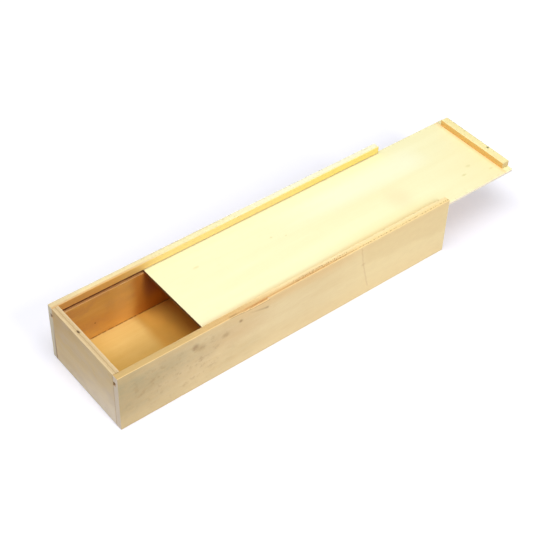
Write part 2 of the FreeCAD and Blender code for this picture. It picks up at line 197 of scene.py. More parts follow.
def loft(name, axis, corners, ends, rounding, wear, step=STEP, extra=()):
    """A board: its section swept along axis 0 or 1, rounded at both ends and worn by the wear function."""
    low, high = ends
    plan = outline_plan(corners)
    mesh = bmesh.new()
    rings = []
    for place, distance in stations(low, high, rounding, step, extra):
        drawn = [draw_in(distance, radius) for radius in rounding]
        lean = max(0.0, 1 - distance / max(rounding))
        lean *= 1 if place > (low + high) / 2 else -1
        ring = []
        for point, out, edge in outline(plan, drawn):
            if axis == 0:
                where = Vector((place, point.x, point.y))
                way = Vector((lean, out.x, out.y))
            else:
                where = Vector((point.x, place, point.y))
                way = Vector((out.x, lean, out.y))
            edge = max(edge, abs(lean))
            moved = wear(where, way.normalized(), edge)
            ring.append(mesh.verts.new(moved * MM))
        rings.append(ring)
    count = len(rings[0])
    for first, second in zip(rings, rings[1:]):
        for k in range(count):
            following = (k + 1) % count
            mesh.faces.new((first[k], first[following], second[following], second[k]))
    mesh.faces.new(rings[0])
    mesh.faces.new(rings[-1])
    bmesh.ops.recalc_face_normals(mesh, faces=mesh.faces)
    for face in mesh.faces:
        face.smooth = True
    piece = place_mesh(name, mesh)
    piece.data.set_sharp_from_angle(angle=math.radians(SHARP_DEGREES))
    return piece


# ---------------------------------------------------------------- Wear, in mm
# How deep it goes on a flat, evenly along an arris, in an arris's worn stretches and in its nicks
FLAT_WEAR = 0.02
EVEN_WEAR = 0.05
SLOW_WEAR = 0.16
NICK_WEAR = 0.55
NICK_FROM = 0.42

# A point this close to the top of a board is on its top face
AT_TOP = 0.01

# The chip in the near rim: from where to where, how it runs in and out, its floor, its back and their wander
CHIP_X = (-67.0, -27.5)
CHIP_RUN_IN = 27.0
CHIP_RUN_OUT = 1.6
CHIP_FLOOR = 57.15
CHIP_BACK = -48.45
CHIP_WANDER = 0.2

# The torn strip beside the near rim's outer glue line
TORN_HALF = 0.6
TORN_DEPTH = 0.9

# The void in the closed end's rim: its place in x and y, half its size and its depth
VOID = (-169.9, 9.8)
VOID_HALF = (0.75, 1.7)
VOID_DEPTH = 1.3

# The hole over the batten's open pin, and where the batten's rear arris is dented
PIN_BORE = 1.05
PIN_RAMP = 0.25
PIN_DEPTH = 0.35
DENT_HALF = 0.6
DENT_FROM_Y = -12

# How much more or less than usual some stretches are worn
DENT_WEAR = 2.2
OPEN_TOP_WEAR = 1.6
LID_WEAR = 0.7


def worn(where, way, edge, seed, amount=1.0):
    """A point pushed in a little: hardly on the flats, more along the arrises, with a nick here and there."""
    x, y, z = where
    slow = grain(x * 0.11 + seed, y * 0.11, z * 0.11)
    quick = grain(x * 0.45 + seed, y * 0.45 + 5, z * 0.45)
    flat = FLAT_WEAR * (1 + grain(x * 0.05, y * 0.05 + seed, z * 0.05))
    rubbed = EVEN_WEAR + SLOW_WEAR * max(0.0, slow) + NICK_WEAR * max(0.0, quick - NICK_FROM)
    return where - way * (flat + edge * rubbed * amount)


def plain_wear(seed, amount=1.0):
    """The wear of a board that has no mark of its own."""
    return lambda where, way, edge: worn(where, way, edge, seed, amount)


def wear_near(where, way, edge):
    """The near side's wear: the outer ply chipped off a stretch of the rim, torn fibres at its glue line."""
    place = worn(where, way, edge, 3.0)
    x, y, z = where
    run_out = 1 - smoothstep(x, CHIP_X[1] - CHIP_RUN_OUT, CHIP_X[1])
    inside = smoothstep(x, CHIP_X[0], CHIP_X[0] + CHIP_RUN_IN) * run_out
    floor = CHIP_FLOOR + CHIP_WANDER * grain(x * 0.3, 1.5, 0) + (CASE_Z[1] - CHIP_FLOOR) * (1 - inside)
    back = CHIP_BACK + CHIP_WANDER * grain(x * 0.7, 4.5, z * 0.5)
    if inside > 0 and z > floor and place.y < back:
        share = smoothstep(z, floor, floor + 0.3) * min(1.0, inside * 1.6)
        place.y += (back - place.y) * share
    glue = NEAR_Y[0] + OUTER_PLY
    if z > CASE_Z[1] - AT_TOP and abs(y - glue) < TORN_HALF:
        pit = max(0.0, grain(x * 0.9, 7.7, y * 0.8) - 0.05)
        place.z -= TORN_DEPTH * pit * (1 - abs(y - glue) / TORN_HALF)
    return place


def wear_closed(where, way, edge):
    """The closed end's wear, with a void between the plies of its rim."""
    place = worn(where, way, edge, 19.0)
    x, y, z = where
    if z > CASE_Z[1] - AT_TOP:
        across = (x - VOID[0] + 0.15 * grain(y, 0, 2)) / VOID_HALF[0]
        reach = math.hypot(across, (y - VOID[1]) / VOID_HALF[1])
        place.z -= VOID_DEPTH * (1 - smoothstep(reach, 0.6, 1.1))
    return place


def wear_open(where, way, edge):
    """The open end's wear, heavier along the top where the lid runs over it."""
    amount = OPEN_TOP_WEAR if where.z > OPEN_Z[1] - 1 else 1.0
    return worn(where, way, edge, 27.0, amount)


def wear_batten(where, way, edge):
    """The batten's wear: a dented rear arris, and a small crater round the pin that isn't filled over."""
    x, y, z = where
    rear = x > BATTEN_X[1] - DENT_HALF and z > BATTEN_Z[1] - DENT_HALF
    place = worn(where, way, edge, 51.0, DENT_WEAR if rear and y > DENT_FROM_Y else 1.0)
    if z > BATTEN_Z[1] - AT_TOP:
        reach = math.hypot(x - PIN_X, y - OPEN_PIN_Y)
        place.z -= PIN_DEPTH * (1 - smoothstep(reach, PIN_BORE, PIN_BORE + PIN_RAMP))
    return place


# ---------------------------------------------------------------- Board sections, anticlockwise
ARRIS = 0.45
LIP_ARRIS = 0.12
GROOVE_CORNER = 0.12
LID_ARRIS = 0.35
BOTTOM_ARRIS = 0.15


def plain_section(across, up, radius):
    """A rectangular section with rounded arrises."""
    (a, b), (low, high) = across, up
    return [(a, low, radius), (b, low, radius), (b, high, radius), (a, high, radius)]


def grooved_section(outer, inner):
    """A wall's section: outer face, inner face and the lid's groove under its lip."""
    back = inner + math.copysign(GROOVE_DEPTH, outer - inner)
    right_hand = [
        (outer, CASE_Z[0], ARRIS),
        (inner, CASE_Z[0], ARRIS),
        (inner, GROOVE_LOW, LIP_ARRIS),
        (back, GROOVE_LOW, GROOVE_CORNER),
        (back, GROOVE_HIGH, GROOVE_CORNER),
        (inner, GROOVE_HIGH, LIP_ARRIS),
        (inner, CASE_Z[1], ARRIS),
        (outer, CASE_Z[1], ARRIS),
    ]
    return right_hand if outer < inner else right_hand[::-1]


def fine(centre, reach, pitch):
    """Extra stations close together about a place."""
    count = round(reach / pitch)
    return [centre + pitch * k for k in range(-count, count + 1)]


# How far the ends are rounded, seen from above and from the side
WALL_ENDS = (0.5, 0.5)
PANEL_ENDS = (0.3, 0.3)
BOTTOM_ENDS = (0.15, 0.15)
LID_ENDS = (0.9, 0.35)

near_section = grooved_section(NEAR_Y[0], NEAR_Y[1])
far_section = grooved_section(FAR_Y[1], FAR_Y[0])
closed_section = grooved_section(CLOSED_X[0], CLOSED_X[1])
open_section = plain_section(OPEN_X, OPEN_Z, ARRIS)
bottom_section = plain_section(END_Y, BOTTOM_Z, BOTTOM_ARRIS)
lid_section = plain_section(LID_Y, LID_Z, LID_ARRIS)
batten_section = plain_section(BATTEN_X, BATTEN_Z, ARRIS)
void_stations = fine(VOID[1], 3, 0.3)
pin_stations = fine(OPEN_PIN_Y, 1.8, 0.2)

# Each piece's name, axis, section, ends, their rounding, wear, step between stations and further stations
PIECES = (
    ("near_wall", 0, near_section, CASE_X, WALL_ENDS, wear_near, 1.3),
    ("far_wall", 0, far_section, CASE_X, WALL_ENDS, plain_wear(11.0)),
    ("closed_wall", 1, closed_section, END_Y, PANEL_ENDS, wear_closed, 1.4, void_stations),
    ("open_wall", 1, open_section, END_Y, PANEL_ENDS, wear_open),
    ("floor_board", 0, bottom_section, BOTTOM_X, BOTTOM_ENDS, plain_wear(35.0), 3.0),
    ("lid_board", 0, lid_section, LID_X, LID_ENDS, plain_wear(43.0, LID_WEAR)),
    ("pull_batten", 1, batten_section, BATTEN_Y, WALL_ENDS, wear_batten, 0.9, pin_stations),
)
boards = {plan[0]: loft(*plan) for plan in PIECES}


# ---------------------------------------------------------------- Node code for materials
# A colour mix node's sockets, which share their names with others
MIX_SHARE, MIX_FIRST, MIX_SECOND, MIX_RESULT = 0, 6, 7, 2


class Wire:
    """A value that runs through a material's nodes and is reckoned with like a number."""

    def __init__(self, tree, socket):
        self.tree = tree
        self.socket = socket

    def reckon(self, operation, *values):
        """The result of a Math node."""
        node = self.tree.nodes.new("ShaderNodeMath")
        node.operation = operation
        for place, value in zip(node.inputs, values):
            feed(self.tree, place, value)
        return Wire(self.tree, node.outputs[0])

    def __add__(self, other):
        return self.reckon("ADD", self, other)

    def __sub__(self, other):
        return self.reckon("SUBTRACT", self, other)

    def __rsub__(self, other):
        return self.reckon("SUBTRACT", other, self)

    def __mul__(self, other):
        return self.reckon("MULTIPLY", self, other)

    def __truediv__(self, other):
        return self.reckon("DIVIDE", self, other)

    def __abs__(self):
        return self.reckon("ABSOLUTE", self)

    def __or__(self, other):
        return self.reckon("MAXIMUM", self, other)

    __radd__ = __add__
    __rmul__ = __mul__

    def sine(self):
        """Its sine, from -1 to 1."""
        return self.reckon("SINE", self)

    def root(self):
        """Its square root."""
        return self.reckon("SQRT", self)

    def step(self, low, high):
        """0 below low, 1 above high, and a soft rise between."""
        node = self.tree.nodes.new("ShaderNodeMapRange")
        node.interpolation_type = "SMOOTHSTEP"
        feed(self.tree, node.inputs["Value"], self)
        feed(self.tree, node.inputs["From Min"], low)
        feed(self.tree, node.inputs["From Max"], high)
        return Wire(self.tree, node.outputs["Result"])

    def fall(self, low, high):
        """1 below low, 0 above high."""
        return 1 - self.step(low, high)

    def within(self, low, high, soft):
        """1 between low and high, fading out over soft on both sides."""
        return self.step(low - soft, low + soft) * self.fall(high - soft, high + soft)


def feed(tree, socket, value):
    """Links a wire to a socket, or sets a plain value on it."""
    if isinstance(value, Wire):
        tree.links.new(value.socket, socket)
    else:
        socket.default_value = value


def rgb(code):
    """A colour written as six hex digits, as Blender's linear colour."""
    parts = [int(code[k : k + 2], 16) / 255 for k in (0, 2, 4)]
    return tuple(p / 12.92 if p <= 0.04045 else ((p + 0.055) / 1.055) ** 2.4 for p in parts) + (1.0,)


def fresh_nodes(owner):
    """The emptied node tree of a material or a world."""
    owner.use_nodes = True
    owner.node_tree.nodes.clear()
    return owner.node_tree


def mixed(tree, share, first, second, blend="MIX"):
    """Two colours mixed by a share from 0 to 1."""
    node = tree.nodes.new("ShaderNodeMix")
    node.data_type = "RGBA"
    node.blend_type = blend
    feed(tree, node.inputs[MIX_SHARE], share)
    for socket, colour in ((MIX_FIRST, first), (MIX_SECOND, second)):
        feed(tree, node.inputs[socket], rgb(colour) if isinstance(colour, str) else colour)
    return Wire(tree, node.outputs[MIX_RESULT])


class Look:
    """A material in the making, with each point's place in mm and its facing, both in the row frame."""

    def __init__(self, name, colour):
        self.material = bpy.data.materials.new(name)
        self.tree = fresh_nodes(self.material)
        source = self.tree.nodes.new("ShaderNodeTexCoord")
        self.at = [part * (1 / MM) for part in self.split(source.outputs["Object"])]
        self.facing = self.split(source.outputs["Normal"])
        self.colour = rgb(colour)
        self.height = None
        self.rough = 0.6

    def split(self, socket):
        """The three parts of a vector."""
        node = self.tree.nodes.new("ShaderNodeSeparateXYZ")
        self.tree.links.new(socket, node.inputs[0])
        return [Wire(self.tree, out) for out in node.outputs]

    def noise(self, place, detail=2.0, roughness=0.5):
        """Smooth noise about 0.5 at a place given as three values."""
        join = self.tree.nodes.new("ShaderNodeCombineXYZ")
        for socket, value in zip(join.inputs, place):
            feed(self.tree, socket, value)
        node = self.tree.nodes.new("ShaderNodeTexNoise")
        self.tree.links.new(join.outputs[0], node.inputs["Vector"])
        node.inputs["Scale"].default_value = 1.0
        node.inputs["Detail"].default_value = detail
        node.inputs["Roughness"].default_value = roughness
        return Wire(self.tree, node.outputs["Fac"])

    def mix(self, share, first, second, blend="MIX"):
        """Two colours mixed by a share from 0 to 1."""
        return mixed(self.tree, share, first, second, blend)

    def paint(self, colour, share):
        """Lays a colour over what is there, by a share from 0 to 1."""
        self.colour = self.mix(share, self.colour, colour)

    def raise_by(self, height):
        """Adds to the surface's height, in mm, for the bump."""
        self.height = height if self.height is None else self.height + height

    def done(self, specular=0.3, metal=0.0):
        """Joins it all in one shader and returns the material."""
        shader = self.tree.nodes.new("ShaderNodeBsdfPrincipled")
        feed(self.tree, shader.inputs["Base Color"], self.colour)
        feed(self.tree, shader.inputs["Roughness"], self.rough)
        shader.inputs["Metallic"].default_value = metal
        shader.inputs["Specular IOR Level"].default_value = specular
        if self.height is not None:
            bump = self.tree.nodes.new("ShaderNodeBump")
            bump.inputs["Distance"].default_value = MM
            feed(self.tree, bump.inputs["Height"], self.height)
            self.tree.links.new(bump.outputs["Normal"], shader.inputs["Normal"])
        output = self.tree.nodes.new("ShaderNodeOutputMaterial")
        self.tree.links.new(shader.outputs["BSDF"], output.inputs["Surface"])
        return self.material


# ---------------------------------------------------------------- What wood looks like
# Distances from a glue line, in mm, between which it fades out
GLUE_FADE = (0.05, 0.32)

# How deep below a face its own veneer shows on the rounded arris
FACE_SKIN = 0.7


def veneer(look, along, across, seed, light, dark):
    """Rotary-cut veneer: fine fibres, broad soft bands, faint growth figure and short pores.
    Returns its colour and height."""
    fibre = look.noise((along * 0.035, across * 1.3, seed), 4, 0.6)
    band = look.noise((along * 0.005, across * 0.055, seed + 7), 3, 0.5)
    swirl = look.noise((along * 0.007, across * 0.02, seed + 13), 2)
    figure = (across * 0.3 + swirl * 18).sine()
    pore = look.noise((along * 0.2, across * 3.2, seed + 21), 2, 0.6).step(0.64, 0.72)
    tone = fibre * 0.35 + band * 0.75 + figure * 0.03
    colour = look.mix(tone.step(0.38, 0.72), light, dark)
    colour = look.mix(pore * 0.3, colour, dark, "MULTIPLY")
    return colour, fibre * 0.05 - pore * 0.06


def cut_plies(look, kind, depth, thick, along, end_grain):
    """A cut edge of plywood: outer plies, a core of the other grain and two broken dark glue lines.
    Returns its colour, its glue lines and its height."""
    seed = kind["seed"] + 31
    wander = (look.noise((along * 0.12, seed, depth * 0.1), 3) - 0.5) * 0.5
    deep = depth + wander
    in_core = deep.within(OUTER_PLY, thick - OUTER_PLY, 0.15)
    crossing = abs(in_core - end_grain)
    speck = look.noise((along * 1.4, depth * 1.9, seed + 3), 3, 0.7)
    colour = look.mix(crossing, kind["ply"], kind["core"])
    colour = look.mix(speck.step(0.5, 0.7) * (crossing * 0.35 + 0.08), colour, kind["glue"])
    first = abs(deep - OUTER_PLY).fall(*GLUE_FADE)
    second = abs(deep - (thick - OUTER_PLY)).fall(*GLUE_FADE)
    breaks = look.noise((along * 0.55, depth * 0.3, seed + 9), 3, 0.65).step(0.36, 0.64)
    line = (first | second) * breaks
    return colour, line, speck * 0.08 * crossing - line * 0.12


def spot(look, first, second, centre, size, soft, seed):
    """A soft uneven spot, 1 inside and 0 outside, about a centre on a face. size is half its extent."""
    a = (first - centre[0]) / size[0]
    b = (second - centre[1]) / size[1]
    reach = (a * a + b * b).root()
    ragged = (look.noise((first * 0.6, second * 0.6, seed), 3) - 0.5) * 0.8
    return (reach + ragged).fall(1 - soft, 1 + soft)


def stroke(look, first, second, start, end, width, seed):
    """A thin uneven line, 1 on it and 0 off it, between two places on a face."""
    length = math.dist(start, end)
    way = ((end[0] - start[0]) / length, (end[1] - start[1]) / length)
    a, b = first - start[0], second - start[1]
    along = a * way[0] + b * way[1]
    stray = (look.noise((along * 0.25, seed, 0.0), 3) - 0.5) * (width * 2)
    off = abs(b * way[0] - a * way[1] + stray)
    return off.fall(width * 0.3, width) * along.within(0, length, 1.0)


class Board(Look):
    """The plywood of one board. kind holds its axes (thickness, grain, across), its outer and inner faces,
    a seed and its colours."""

    def __init__(self, name, kind):
        super().__init__(name, kind["light"])
        thick_axis, grain_axis, cross_axis = kind["axes"]
        outer, inner = kind["faces"]
        way = 1 if outer > inner else -1
        thick = abs(outer - inner)
        self.along, self.across = self.at[grain_axis], self.at[cross_axis]
        self.depth = (outer - self.at[thick_axis]) * way
        flat = 1 - self.depth.within(FACE_SKIN, thick - FACE_SKIN, 0.2)
        on_face = abs(self.facing[thick_axis]).step(0.55, 0.8) * flat
        on_inner = (self.facing[thick_axis] * way).fall(-0.5, 0.2)
        self.outer = on_face * (1 - on_inner)
        self.inner = on_face * on_inner
        self.edge = 1 - on_face
        self.end = abs(self.facing[grain_axis]).step(0.5, 0.8)
        seed = kind["seed"]
        place = (self.along, self.across)
        face, relief = veneer(self, *place, seed, kind["light"], kind["dark"])
        inside, inner_relief = veneer(self, *place, seed + 50, kind["inner_light"], kind["inner_dark"])
        along_edge = self.along * (1 - self.end) + self.across * self.end
        cut, line, cut_relief = cut_plies(self, kind, self.depth, thick, along_edge, self.end)
        self.colour = self.mix(on_face, cut, self.mix(on_inner, face, inside))
        self.paint(kind["glue"], line * self.edge * kind["lines"])
        self.raise_by(cut_relief * self.edge + (relief * (1 - on_inner) + inner_relief * on_inner) * on_face)
        self.rough = 0.55 + self.noise((self.along * 0.05, self.across * 0.3, seed + 40), 3) * 0.25

    def lip(self):
        """1 on the inner face of the lip over the lid's groove, 0 elsewhere."""
        return self.inner * self.across.step(GROOVE_HIGH - 0.6, GROOVE_HIGH)

    def shade_groove_back(self):
        """Darkens the back of the lid's groove with painted shade, over the inner face's warm tone on all its
        faces.
        """
        back = THICK - GROOVE_DEPTH
        groove = self.depth.step(back - 0.2, back - 0.1)
        groove *= self.across.within(GROOVE_LOW - 0.12, GROOVE_HIGH + 0.12, 0.08)
        groove *= self.edge * (1 - self.end)
        self.paint("E0A058", groove * 0.9)
        # painted shade at the back of the groove, under the lip
        self.paint("6A3010", groove * self.depth.fall(back + 0.3, back + 1.0) * 0.9)

    def lift_notch_shade(self):
        """Paints the groove's run-out at the closed end pale: painted light that lifts the shade in the
        notch.
        """
        back = THICK - GROOVE_DEPTH
        notch = self.across.within(GROOVE_LOW, GROOVE_HIGH, 0.3) * self.depth.step(back - 0.4, back)
        # painted light that lifts the shade where the groove runs out
        self.paint("E8DEC8", notch * self.along.fall(CASE_X[0] + 8, CASE_X[0] + 12) * 0.9)

    def darken_joint(self, gap, strength):
        """A dark line on the inner face where gap, the distance in mm from the next board, is small."""
        broken = self.noise((self.along * 0.3, 2.0, 4.0), 3).step(0.3, 0.55)
        self.paint("7A4418", self.inner * gap.fall(0.2, 1.2) * broken * strength)


# Colours that boards share: the case's inside, and the faces and edges that the photo doesn't show
WARM_INSIDE = {"inner_light": "E2AE5A", "inner_dark": "D89E4C"}
UNSEEN_FACE = {"light": "F0DAAA", "dark": "E2C68E"}
UNSEEN_EDGE = {"ply": "F0DCA8", "core": "DCBC84", "glue": "8A5A30", "lines": 0.4}

NEAR = {
    "axes": (1, 0, 2), "faces": (NEAR_Y[0], NEAR_Y[1]), "seed": 2.0,
    "light": "F0DBAB", "dark": "E9D09C", **WARM_INSIDE,
    "ply": "E2BC7E", "core": "E2BB7C", "glue": "7A4420", "lines": 0.35,
}
FAR = {
    "axes": (1, 0, 2), "faces": (FAR_Y[1], FAR_Y[0]), "seed": 80.0,
    **UNSEEN_FACE, **WARM_INSIDE,
    "ply": "F8EEC2", "core": "F5E2AC", "glue": "B88C5C", "lines": 0.2,
}
CLOSED = {
    "axes": (0, 1, 2), "faces": (CLOSED_X[0], CLOSED_X[1]), "seed": 140.0,
    "light": "E4CA98", "dark": "DCC08C", **WARM_INSIDE,
    "ply": "DCC498", "core": "D6BC8E", "glue": "A07C50", "lines": 0.25,
}
OPEN = {
    "axes": (0, 1, 2), "faces": (OPEN_X[1], OPEN_X[0]), "seed": 200.0,
    **UNSEEN_FACE, **WARM_INSIDE, **UNSEEN_EDGE,
}
BOTTOM = {
    "axes": (2, 0, 1), "faces": (BOTTOM_Z[0], BOTTOM_Z[1]), "seed": 260.0,
    "light": "E8CFA0", "dark": "D4B480", "inner_light": "F1CF80", "inner_dark": "EBC472", **UNSEEN_EDGE,
}
LID = {
    "axes": (2, 0, 1), "faces": (LID_Z[1], LID_Z[0]), "seed": 320.0,
    "light": "FCF8CA", "dark": "F9F3C2", "inner_light": "D8B078", "inner_dark": "CC9E64",
    "ply": "FFF4DC", "core": "F4E0BC", "glue": "B08858", "lines": 0.25,
}


# ---------------------------------------------------------------- The near side's look, places in x and z
CRACK_TOP = (71.1, 58)
CRACK_NODE = (74.5, 37.6)
CRACK_FOOT = (81.9, 8)
CRACK_WIDTH = 1.1
SCRATCH = ((-49, 53.9), (-28.5, 49.2))
SCRATCH_WIDTH = 1.5

# Broad patches: colour, centre, half size and strength
NEAR_PATCHES = (
    ("D0A068", (-58, 40), (26, 10), 0.3),
    ("A89878", (-120, 45), (20, 10), 0.3),
    ("F4D8A8", (-104, 24), (26, 10), 0.3),
)

# Dark spots: centre, half size and strength
NEAR_SPOTS = (
    ((-100.7, 48.5), (2.6, 2.4), 0.45),
    ((-96, 44), (3.5, 3.0), 0.25),
    ((-56.5, 50.1), (1.6, 1.3), 0.6),
    ((-71.4, 43.4), (3.0, 2.2), 0.35),
    ((-30, 49.6), (1.8, 1.1), 0.18),
)


def near_tones(look, x, z, cloud):
    """The outer face's tones: greyer towards the closed end, paler at the foot with painted bounce light from
    the floor, with smudges and a mottle.
    """
    look.paint("F8E2AC", look.outer * x.step(10, 100) * 0.85)
    look.paint("AE9870", look.outer * (x + cloud * 120).fall(-150, 50) * 0.8)
    look.paint("E8BC7C", look.outer * z.step(44, 56) * x.within(-60, 60, 30) * 0.4)
    look.paint("A8A07C", look.outer * (x + cloud * 60).fall(-130, -90) * z.step(22, 50) * 0.35)
    # painted bounce light from the floor: paler at the foot
    look.paint("F8DEA8", look.outer * z.fall(2.0, 24.0) * 0.35)
    look.paint("ECC484", look.outer * z.step(48, 57) * 0.2)
    for colour, centre, size, strength in NEAR_PATCHES:
        look.paint(colour, look.outer * spot(look, x, z, centre, size, 0.9, centre[1]) * strength)
    smudge = look.noise((x * 0.1, z * 0.12, 9.0), 4, 0.7).step(0.5, 0.7)
    look.paint("A88058", look.outer * smudge * x.within(-165, -75, 22) * z.within(10, 52, 8) * 0.5)
    mottle = look.noise((x * 0.1, z * 0.2, 12.0), 4, 0.65).step(0.35, 0.7)
    look.paint("DCBC84", look.outer * mottle * (0.12 + x.fall(-100, 0) * 0.14))


def near_marks(look, x, z, cloud):
    """The outer face's marks: a crossing crack, a change of tone beside it, a scratch, spots and the chip."""
    upper = stroke(look, x, z, CRACK_TOP, CRACK_NODE, CRACK_WIDTH, 3.0)
    lower = stroke(look, x, z, CRACK_NODE, CRACK_FOOT, CRACK_WIDTH, 5.0)
    look.paint("B88448", look.outer * (upper | lower) * 0.19)
    look.paint("B07C44", look.outer * spot(look, x, z, CRACK_NODE, (2.2, 1.5), 0.7, 17.0) * 0.2)
    above = z + (x - CRACK_NODE[0]) * 0.12 - CRACK_NODE[1] + (cloud - 0.5) * 12
    look.paint("E0BE80", look.outer * above.step(-3, 3) * x.step(70, 80) * 0.25)
    scratch = stroke(look, x, z, *SCRATCH, SCRATCH_WIDTH, 9.0) * x.step(-52, -30)
    look.paint("8A5A2C", look.outer * scratch * 0.3)
    for centre, size, strength in NEAR_SPOTS:
        look.paint("8A5426", look.outer * spot(look, x, z, centre, size, 0.95, centre[0]) * strength)
    chip_floor = CHIP_FLOOR + (CASE_Z[1] - CHIP_FLOOR) * x.fall(CHIP_X[0], CHIP_X[0] + CHIP_RUN_IN)
    chip_line = (z - chip_floor).within(-0.7, 0.3, 0.3) * x.within(*CHIP_X, 2) * look.depth.fall(2, 3)
    look.paint("6A4420", chip_line * 0.4)


def near_rim(look, x):
    """The rim: greyer at the closed end, paler inward and towards the open end, torn beside its glue line."""
    rim = look.edge * (1 - look.end)
    look.paint("CCAC70", rim * x.fall(-130, -60) * 0.9)
    look.paint("F8DE9E", rim * x.step(15, 80) * 0.9)
    look.paint("FFEAB4", rim * look.depth.step(1.6, 6.0) * x.step(-70, 0) * 0.9)
    look.paint("FAD89E", rim * look.depth.within(-0.2, 0.8, 0.25) * 0.6)
    look.paint("D89C5C", rim * look.depth.within(1.1, 2.1, 0.5) * x.within(-60, 70, 30) * 0.5)
    torn = look.noise((x * 0.75, look.depth * 0.9, 6.0), 3, 0.7).step(0.48, 0.6)
    glue_dots = look.depth.within(1.3, 2.2, 0.3) * x.step(-30, 10)
    torn_core = look.depth.within(2.4, 4.2, 0.5) * x.within(0, 62, 12)
    look.paint("7A3C14", rim * torn * (glue_dots * 0.65 | torn_core * 0.6))


def near_look():
    """The near side: smudged and greyer towards the closed end, with a crossing crack and a paler rim."""
    look = Board("near_ply", NEAR)
    x, z = look.along, look.across
    cloud = look.noise((x * 0.03, z * 0.05, 5.0), 3, 0.6)
    near_tones(look, x, z, cloud)
    near_marks(look, x, z, cloud)
    near_rim(look, x)
    look.paint("E8DAC4", look.edge * look.end * 0.85)
    look.darken_joint(z - BOTTOM_Z[1], 0.5)
    look.shade_groove_back()
    look.lift_notch_shade()
    # painted reflection of the lid on the lip, as on the far lip, which also throws more light onto the lid
    look.paint("FDE494", look.lip() * x.step(-90, -40) * 0.9)
    # painted highlight down the arris at the open end
    look.paint("F8ECC8", look.outer * x.step(CASE_X[1] - 1.4, CASE_X[1] - 0.6) * 0.6)
    return look.done()


# ---------------------------------------------------------------- The far side's look, places in x and z
FAR_PORE = (-136, 19.5)
FAR_PORE_SIZE = (0.8, 0.7)


def far_inside(look, x, z):
    """The inner face: warm, with a painted reflection of the lid just before its nose and a painted shadow of
    the lid past it, one small pore, and a paler lip, lighter still over the lid by a painted reflection of it
    and darker at the closed end by painted shade.
    """
    blotch = look.noise((x * 0.05, z * 0.08, 8.0), 3, 0.6)
    look.paint("C48C58", look.inner * blotch.step(0.42, 0.62) * 0.35)
    look.paint("E8A444", look.inner * z.fall(8, 34) * x.step(-150, -110) * 0.5)
    # painted reflection of the pale lid on the wall, just before its nose
    look.paint("FCC268", look.inner * x.within(-116, -99, 8) * 0.4)
    # painted shadow of the lid on the wall, from its nose on
    uneven = x + blotch * 4
    look.paint("CC8028", look.inner * uneven.step(-100, -89) * 0.8)
    look.paint("A0644C", look.inner * uneven.step(-88, -78) * z.step(12, 30) * z.fall(44, 50) * 0.7)
    lip = look.lip()
    look.paint("F2BA62", lip * 0.8)
    # painted reflection of the pale lid on the lip over it
    look.paint("FDE494", lip * x.step(-122, -60) * 0.95)
    look.paint("FBE47E", lip * x.step(30, 120) * 0.8)
    # painted shade on the lip towards the closed end
    look.paint("C4844C", lip * x.fall(-150, -122) * 0.35)
    look.paint("8A4C20", look.inner * spot(look, x, z, FAR_PORE, FAR_PORE_SIZE, 0.4, 3.0) * 0.6)


def far_rim(look, x, z):
    """The rim: warm at the closed end, very pale at the open end, yellower along its inner arris."""
    rim = look.edge * (1 - look.end) * z.step(GROOVE_HIGH, GROOVE_HIGH + 1)
    look.paint("F8EFBA", rim * x.step(-110, -40) * 0.9)
    look.paint("E0CEA2", rim * look.depth.fall(0.9, 1.9) * x.fall(-40, 40) * 0.6)
    look.paint("DEAA64", rim * look.depth.step(3.8, 5.8) * x.fall(-110, -50) * 0.85)
    look.paint("F2D090", rim * look.depth.step(5.0, 6.1) * x.within(-80, 0, 30) * 0.5)
    look.paint("FDFADA", rim * x.step(-30, 80) * 0.8)
    look.paint("FAEC98", rim * look.depth.step(4.2, 6.1) * x.step(0, 60) * 0.6)
    look.paint("D0B488", rim * x.fall(-166, -138) * 0.5)


def far_look():
    """The far side: warm inside with one small dark pore and a painted shadow and reflection of the lid, and
    a lip and rim that pale along it, the lip partly by a painted reflection of the lid.
    """
    look = Board("far_ply", FAR)
    x, z = look.along, look.across
    far_inside(look, x, z)
    far_rim(look, x, z)
    look.paint("D8CCB4", look.edge * look.end * 0.8)
    joint = look.edge * look.end * look.depth.step(THICK - 2.2, THICK - 1.2)
    look.paint("8A4C20", joint * look.facing[0].fall(-0.5, 0.0) * z.fall(6, 50) * 0.6)
    look.darken_joint(z - BOTTOM_Z[1], 0.5)
    look.shade_groove_back()
    look.lift_notch_shade()
    return look.done()


# ---------------------------------------------------------------- The other boards' looks
# The glue line down the middle of the closed end's rim, in x and y
RIM_LINE = ((VOID[0] - 0.4, -44), (VOID[0] - 0.4, 44))
RIM_LINE_WIDTH = 0.7
# Half the size of the painted shade in the void, in x and y
VOID_SHADE = (0.8, 2.0)


def closed_look():
    """The closed end: paler and greyer towards its near foot and darker towards its far top, painted bounce
    light from the floor and painted shade, with a void and a glue line in its rim.
    """
    look = Board("closed_ply", CLOSED)
    x, y, z = look.at
    cloud = look.noise((y * 0.04, z * 0.06, 15.0), 3, 0.6)
    # painted shade: darker towards the far top
    look.paint("CEAC74", look.outer * (z + y * 0.6 + cloud * 20).step(45, 90) * 0.9)
    # painted bounce light from the floor: paler towards the near foot
    look.paint("FAECD4", look.outer * (z + y * 0.35 + cloud * 20).fall(0, 46) * 0.8)
    grey = look.noise((y * 0.06, z * 0.09, 19.0), 3, 0.6).step(0.4, 0.7)
    look.paint("D6C4B2", look.outer * grey * 0.3)
    rim = look.edge * z.step(CASE_Z[1] - 2, CASE_Z[1] - 1.9)
    look.paint("A88458", rim * stroke(look, x, y, *RIM_LINE, RIM_LINE_WIDTH, 4.0) * 0.45)
    # painted shade in the void
    look.paint("442A12", rim * spot(look, x, y, VOID, VOID_SHADE, 0.4, 2.0) * 0.8)
    look.shade_groove_back()
    return look.done()


def open_look():
    """The open end: plain plywood."""
    return Board("open_ply", OPEN).done()


